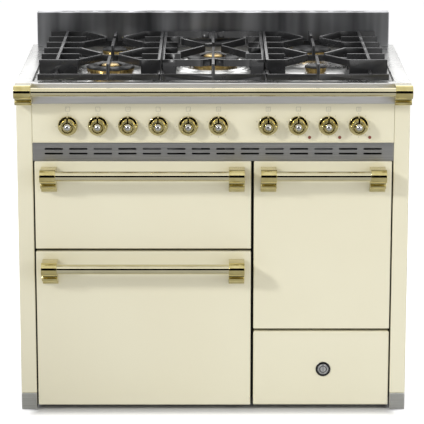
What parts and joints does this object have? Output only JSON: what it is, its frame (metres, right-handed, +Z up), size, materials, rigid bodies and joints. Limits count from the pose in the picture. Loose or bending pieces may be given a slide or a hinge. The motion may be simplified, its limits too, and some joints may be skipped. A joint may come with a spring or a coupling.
{
  "type": "range cooker",
  "caption": "Dual fuel range cooker with a gas hob under cast pan supports, three drop-down oven doors, a storage drawer, rotary controls and a front rail.",
  "frame": {"origin": "centre of the overall box at floor level, under the levelling feet", "axes": "+X to the right seen from the front, +Y towards the back wall, +Z up; the doors face -Y"},
  "size_m": [1, 0.679, 0.965],
  "materials": {
    "cream_enamel": "gloss vitreous enamel",
    "galvanised_sheet": "galvanised sheet",
    "brushed_steel": "brushed",
    "polished_steel": "satin polished",
    "zinc_plated_steel": "zinc plated",
    "lamp_lens": "clear red lens",
    "rail_steel": "polished",
    "polished_brass": "polished and lacquered",
    "burner_brass": "machined",
    "black_enamel": "matt black enamel",
    "electrode_ceramic": "unglazed",
    "pipe_aluminium": "drawn",
    "control_plastic": "moulded",
    "cavity_enamel": "gloss vitreous enamel",
    "chromed_wire": "plated",
    "seal_rubber": "silicone seal",
    "element_steel": "oxidised sheath",
    "cast_iron": "matt enamelled casting"
  },
  "bodies": {
    "cooker": {"base_frame": "galvanised_sheet", "side_panels": "cream_enamel", "back_panel": "galvanised_sheet", "bay_divider": "galvanised_sheet", "front_frame": "galvanised_sheet", "corner_columns": "cream_enamel", "corner_boots": "brushed_steel", "levelling_feet": "zinc_plated_steel", "control_panel": "cream_enamel", "vent_strip": "brushed_steel", "indicator_lamps": "lamp_lens", "worktop": "polished_steel", "splashback": "polished_steel", "hob_rail": "rail_steel", "rail_brackets": "polished_brass", "burner_bodies": "burner_brass", "burner_caps": "black_enamel", "spark_electrodes": "electrode_ceramic", "gas_manifold": "pipe_aluminium", "gas_inlet": "burner_brass", "oven_controls": "control_plastic", "grill_cavity": "cavity_enamel", "main_cavity": "cavity_enamel", "tall_cavity": "cavity_enamel", "oven_shelves": "chromed_wire", "door_seals": "seal_rubber", "heating_elements": "element_steel", "drawer_rails": "galvanised_sheet"},
    "grill_door": {"grill_door_panel": "cream_enamel", "grill_door_liner": "cavity_enamel", "grill_handle_bar": "rail_steel", "grill_handle_brackets": "polished_brass"},
    "main_door": {"main_door_panel": "cream_enamel", "main_door_liner": "cavity_enamel", "main_handle_bar": "rail_steel", "main_handle_brackets": "polished_brass"},
    "tall_door": {"tall_door_panel": "cream_enamel", "tall_door_liner": "cavity_enamel", "tall_handle_bar": "rail_steel", "tall_handle_brackets": "polished_brass"},
    "drawer": {"drawer_front": "cream_enamel", "drawer_box": "galvanised_sheet"},
    "support_left": {"pan_support_left": "cast_iron"},
    "support_centre": {"pan_support_centre": "cast_iron"},
    "support_right": {"pan_support_right": "cast_iron"},
    "tap_1": {"tap_plug_1": "burner_brass"},
    "burner_knob_1": {"knob_1": "polished_brass"},
    "tap_2": {"tap_plug_2": "burner_brass"},
    "burner_knob_2": {"knob_2": "polished_brass"},
    "tap_3": {"tap_plug_3": "burner_brass"},
    "burner_knob_3": {"knob_3": "polished_brass"},
    "tap_4": {"tap_plug_4": "burner_brass"},
    "burner_knob_4": {"knob_4": "polished_brass"},
    "tap_5": {"tap_plug_5": "burner_brass"},
    "burner_knob_5": {"knob_5": "polished_brass"},
    "grill_knob": {"knob_6": "polished_brass"},
    "clock_knob": {"knob_7": "polished_brass"},
    "main_oven_knob": {"knob_8": "polished_brass"},
    "tall_oven_knob": {"knob_9": "polished_brass"},
    "mode_knob": {"knob_10": "polished_brass"}
  },
  "joints": [
    {"name": "grill_door_hinge", "type": "hinge", "parent": "cooker", "child": "grill_door", "pos_m": [-0.1795, -0.253, 0.4455], "axis": [1, 0, 0], "range_deg": [0, 90]},
    {"name": "main_door_hinge", "type": "hinge", "parent": "cooker", "child": "main_door", "pos_m": [-0.1795, -0.253, 0.0245], "axis": [1, 0, 0], "range_deg": [0, 80]},
    {"name": "tall_door_hinge", "type": "hinge", "parent": "cooker", "child": "tall_door", "pos_m": [0.28, -0.253, 0.2315], "axis": [1, 0, 0], "range_deg": [0, 90]},
    {"name": "drawer_slide", "type": "slide", "parent": "cooker", "child": "drawer", "axis": [0, -1, 0], "range_m": [0, 0.35]},
    {"name": "support_left_lift", "type": "slide", "parent": "cooker", "child": "support_left", "axis": [0, 0, 1], "range_m": [0, 0.06]},
    {"name": "support_centre_lift", "type": "slide", "parent": "cooker", "child": "support_centre", "axis": [0, 0, 1], "range_m": [0, 0.06]},
    {"name": "support_right_lift", "type": "slide", "parent": "cooker", "child": "support_right", "axis": [0, 0, 1], "range_m": [0, 0.06]},
    {"name": "tap_1_turn", "type": "hinge", "parent": "cooker", "child": "tap_1", "pos_m": [-0.369, -0.2365, 0.75994], "axis": [0, -1, 0], "range_deg": [0, 210]},
    {"name": "burner_knob_1_press", "type": "slide", "parent": "tap_1", "child": "burner_knob_1", "axis": [0, 1, 0], "range_m": [0, 0.004], "stiffness_N_per_m": 1200, "springref_m": -0.004},
    {"name": "tap_2_turn", "type": "hinge", "parent": "cooker", "child": "tap_2", "pos_m": [-0.2925, -0.2365, 0.75994], "axis": [0, -1, 0], "range_deg": [0, 210]},
    {"name": "burner_knob_2_press", "type": "slide", "parent": "tap_2", "child": "burner_knob_2", "axis": [0, 1, 0], "range_m": [0, 0.004], "stiffness_N_per_m": 1200, "springref_m": -0.004},
    {"name": "tap_3_turn", "type": "hinge", "parent": "cooker", "child": "tap_3", "pos_m": [-0.216, -0.2365, 0.75994], "axis": [0, -1, 0], "range_deg": [0, 210]},
    {"name": "burner_knob_3_press", "type": "slide", "parent": "tap_3", "child": "burner_knob_3", "axis": [0, 1, 0], "range_m": [0, 0.004], "stiffness_N_per_m": 1200, "springref_m": -0.004},
    {"name": "tap_4_turn", "type": "hinge", "parent": "cooker", "child": "tap_4", "pos_m": [-0.1395, -0.2365, 0.75994], "axis": [0, -1, 0], "range_deg": [0, 210]},
    {"name": "burner_knob_4_press", "type": "slide", "parent": "tap_4", "child": "burner_knob_4", "axis": [0, 1, 0], "range_m": [0, 0.004], "stiffness_N_per_m": 1200, "springref_m": -0.004},
    {"name": "tap_5_turn", "type": "hinge", "parent": "cooker", "child": "tap_5", "pos_m": [-0.063, -0.2365, 0.75994], "axis": [0, -1, 0], "range_deg": [0, 210]},
    {"name": "burner_knob_5_press", "type": "slide", "parent": "tap_5", "child": "burner_knob_5", "axis": [0, 1, 0], "range_m": [0, 0.004], "stiffness_N_per_m": 1200, "springref_m": -0.004},
    {"name": "grill_knob_turn", "type": "hinge", "parent": "cooker", "child": "grill_knob", "pos_m": [0.0135, -0.2605, 0.75994], "axis": [0, 1, 0], "range_deg": [0, 300]},
    {"name": "clock_knob_turn", "type": "hinge", "parent": "cooker", "child": "clock_knob", "pos_m": [0.1395, -0.2605, 0.75994], "axis": [0, 1, 0], "range_deg": [0, 330]},
    {"name": "main_oven_knob_turn", "type": "hinge", "parent": "cooker", "child": "main_oven_knob", "pos_m": [0.216, -0.2605, 0.75994], "axis": [0, 1, 0], "range_deg": [0, 300]},
    {"name": "tall_oven_knob_turn", "type": "hinge", "parent": "cooker", "child": "tall_oven_knob", "pos_m": [0.2925, -0.2605, 0.75994], "axis": [0, 1, 0], "range_deg": [0, 300]},
    {"name": "mode_knob_turn", "type": "hinge", "parent": "cooker", "child": "mode_knob", "pos_m": [0.369, -0.2605, 0.75994], "axis": [0, 1, 0], "range_deg": [0, 315]}
  ]
}
